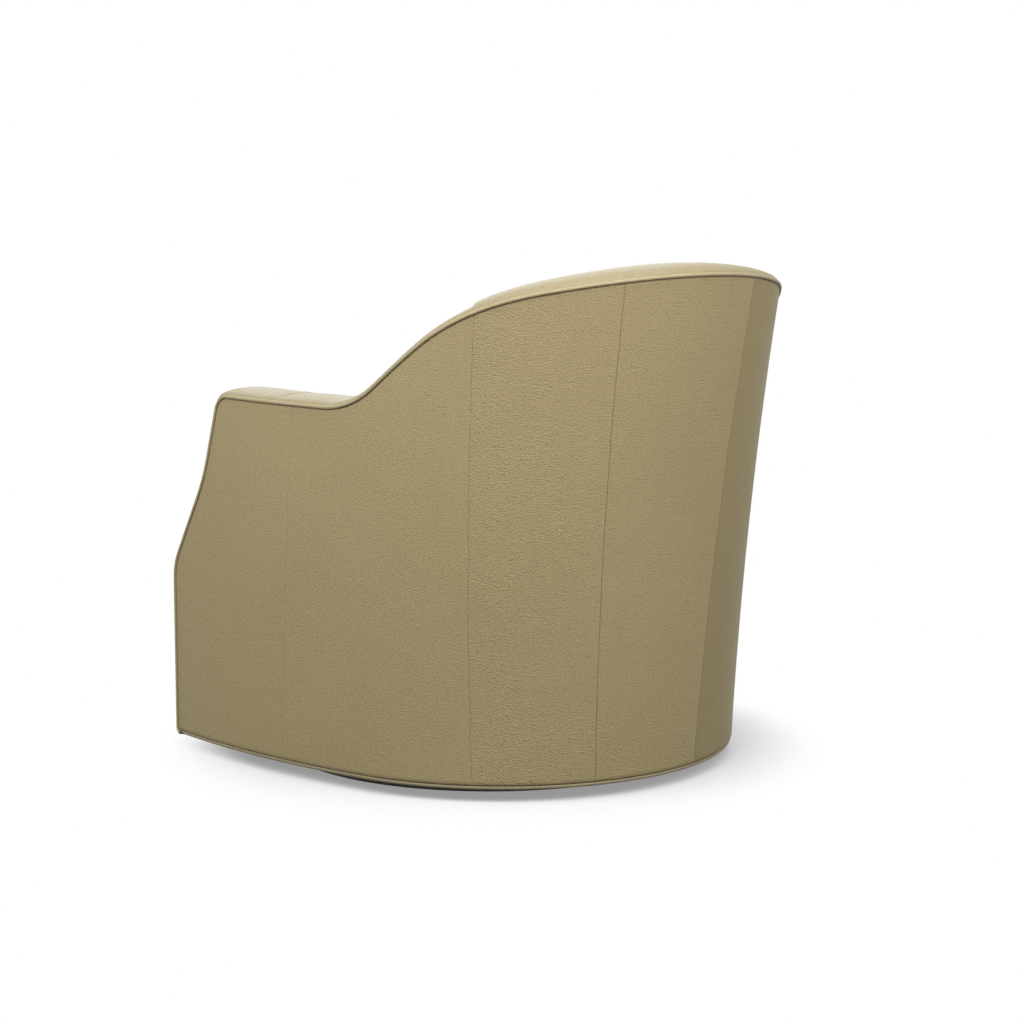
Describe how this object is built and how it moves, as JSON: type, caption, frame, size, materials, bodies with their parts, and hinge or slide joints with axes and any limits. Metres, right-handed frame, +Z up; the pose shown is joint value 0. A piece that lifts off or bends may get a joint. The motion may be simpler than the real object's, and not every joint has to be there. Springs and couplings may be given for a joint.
{
  "type": "leather swivel armchair",
  "caption": "Barrel-shaped upholstered swivel armchair with level arms that sweep up into a leaning back, a loose seat cushion and a low round turning base.",
  "frame": {"origin": "on the floor, on the vertical turning axis at the centre of the round base", "axes": "+Z up, the front of the chair faces -Y, +X is the sitter's left"},
  "size_m": [0.8218, 0.8365, 0.786],
  "materials": {
    "cover_leather": "pebbled",
    "welt_leather": "pebbled",
    "padding": "pebbled",
    "fibreboard": "matt",
    "frame_wood": "sawn",
    "steel": "zinc plated",
    "webbing": "woven",
    "deck_cloth": "woven",
    "black_cloth": "matt",
    "black_base": "black lacquer",
    "glide_plastic": "matt"
  },
  "bodies": {
    "base": {"base_disc": "black_base", "base_glides": "glide_plastic", "swivel_lower_plate": "steel", "swivel_lower_screws": "steel", "swivel_pivot": "steel", "pivot_washer": "steel", "pivot_nut": "steel", "bearing_balls": "steel", "ball_cage": "steel"},
    "chair": {"back_panel_centre": "cover_leather", "back_panel_left": "cover_leather", "back_panel_right": "cover_leather", "arm_panel_rear_left": "cover_leather", "arm_panel_rear_right": "cover_leather", "arm_panel_front_left": "cover_leather", "arm_panel_front_right": "cover_leather", "front_border": "cover_leather", "back_roll": "cover_leather", "arm_roll_left": "cover_leather", "arm_roll_right": "cover_leather", "arm_facing_left": "cover_leather", "arm_facing_right": "cover_leather", "outer_welt": "welt_leather", "inner_welt": "welt_leather", "bottom_welt": "welt_leather", "inside_back_pad": "padding", "inside_arm_pad_left": "padding", "inside_arm_pad_right": "padding", "back_shell_board": "fibreboard", "arm_shell_board_left": "fibreboard", "arm_shell_board_right": "fibreboard", "front_shell_board": "fibreboard", "arm_inner_board_left": "fibreboard", "arm_inner_board_right": "fibreboard", "bottom_former": "frame_wood", "bottom_front_rail": "frame_wood", "seat_former": "frame_wood", "seat_front_rail": "frame_wood", "seat_back_rail": "frame_wood", "corner_blocks": "frame_wood", "arm_front_post_left": "frame_wood", "arm_front_post_right": "frame_wood", "arm_post_left": "frame_wood", "arm_post_right": "frame_wood", "back_post_left": "frame_wood", "back_post_right": "frame_wood", "back_post_centre": "frame_wood", "arm_top_rail_left": "frame_wood", "arm_top_rail_right": "frame_wood", "back_top_rail": "frame_wood", "swivel_board": "frame_wood", "seat_springs": "steel", "spring_clips": "steel", "swivel_upper_plate": "steel", "swivel_upper_screws": "steel", "back_webbing": "webbing", "deck_pad": "deck_cloth", "dust_cover": "black_cloth"},
    "cushion": {"seat_cushion": "padding"}
  },
  "joints": [
    {"name": "swivel", "type": "hinge", "parent": "base", "child": "chair", "pos_m": [0, 0, 0.0275], "axis": [0, 0, 1], "continuous": true},
    {"name": "cushion_lift", "type": "slide", "parent": "chair", "child": "cushion", "axis": [0, 0, 1], "range_m": [0, 0.35]}
  ]
}
